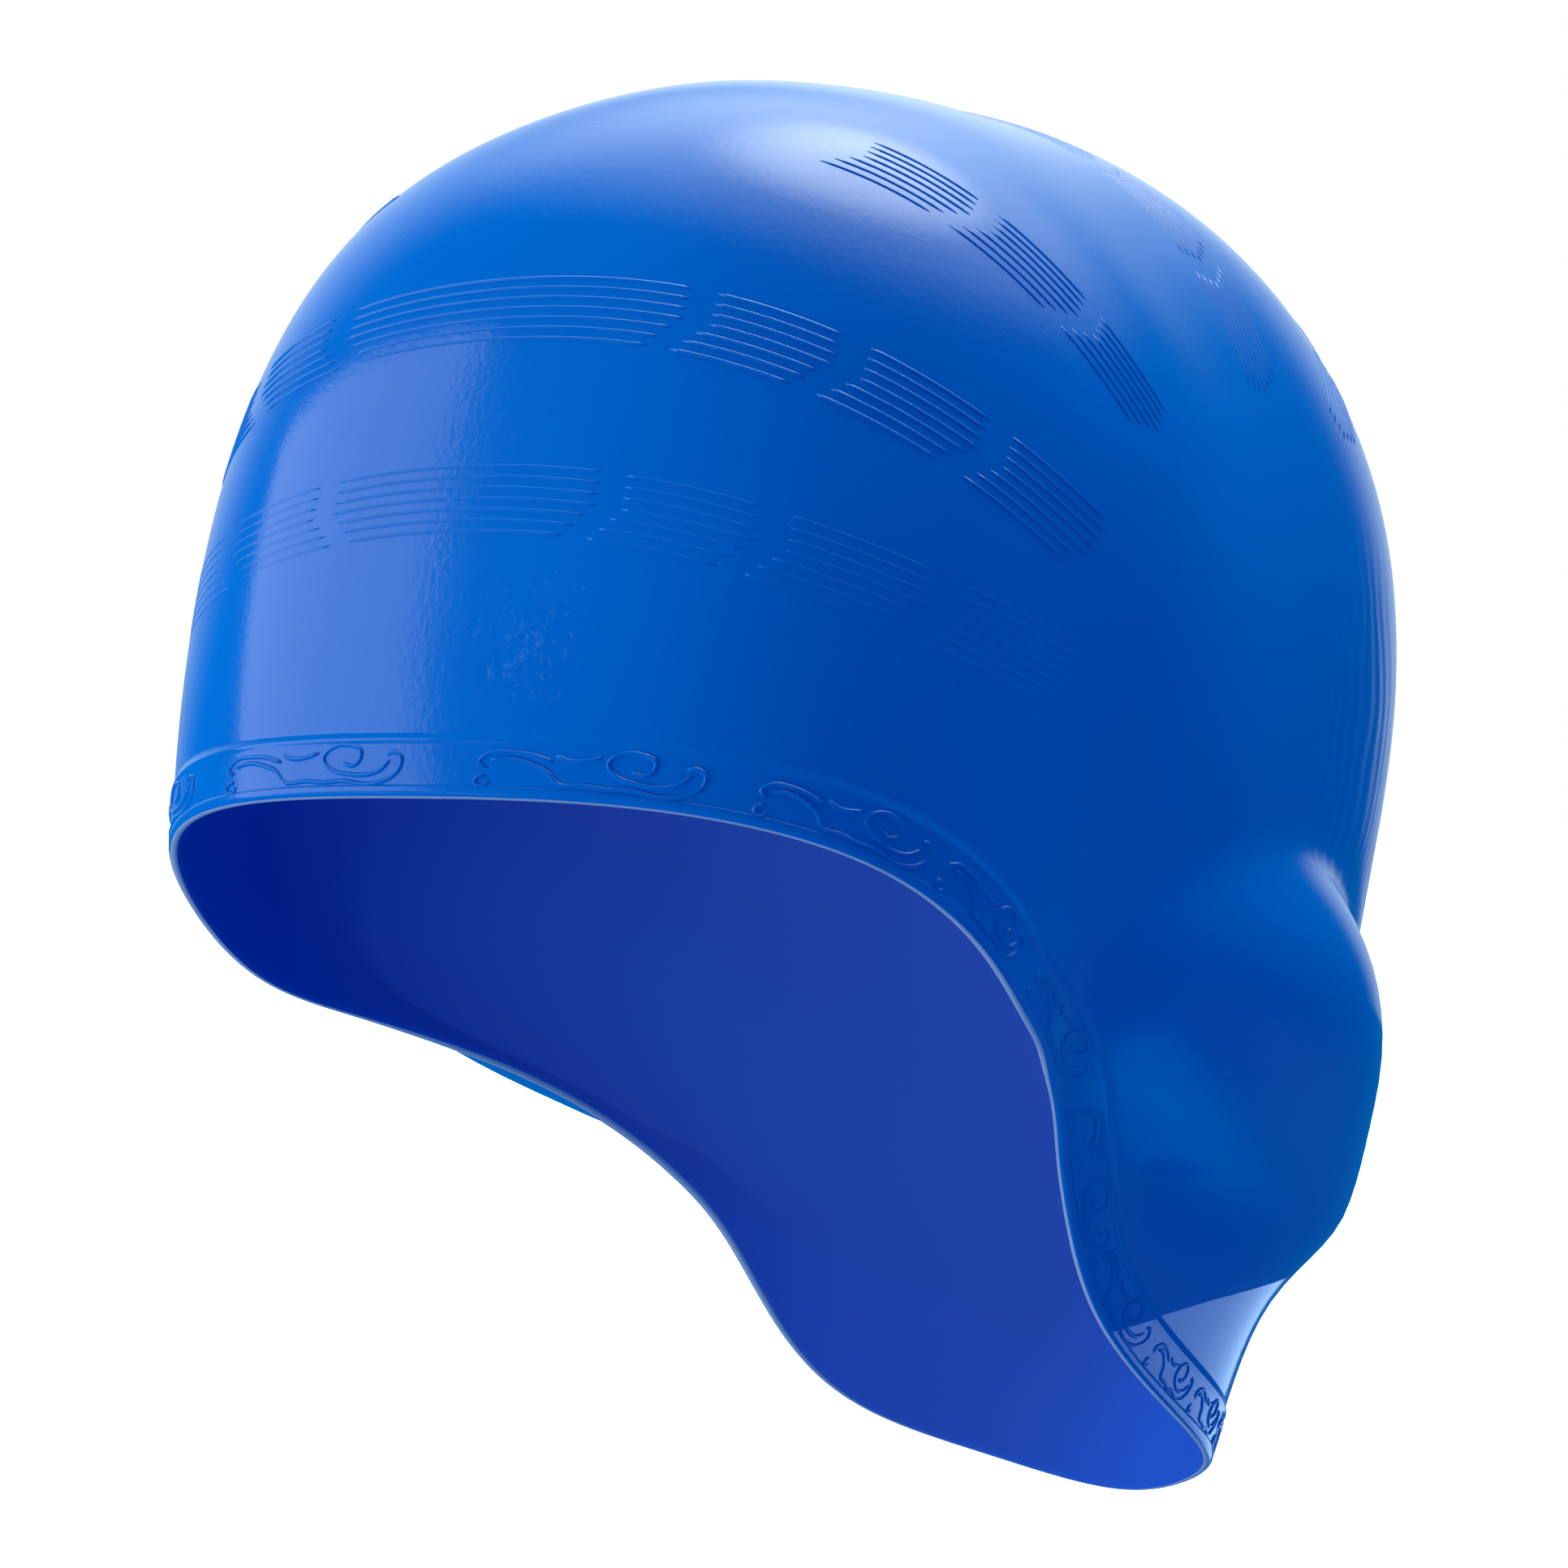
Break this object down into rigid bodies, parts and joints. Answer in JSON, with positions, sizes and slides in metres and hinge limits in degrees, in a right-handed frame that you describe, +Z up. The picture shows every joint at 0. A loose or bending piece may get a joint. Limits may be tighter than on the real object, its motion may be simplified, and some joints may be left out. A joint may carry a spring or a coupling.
{
  "type": "swim cap with ear pockets",
  "caption": "Moulded silicone swim cap with raised ribs over the crown, an ear pocket each side, a scalloped nape flap and a raised ornamental band along its rim.",
  "frame": {"origin": "highest point of the hollow, where the cap sits on the top of the head", "axes": "+Z up out of the crown, -Y forward over the forehead, +X to the wearer's left"},
  "size_m": [0.163, 0.2133, 0.2287],
  "materials": {
    "silicone": "glossy"
  },
  "bodies": {
    "root": {"cap_shell": "silicone"}
  },
  "joints": []
}
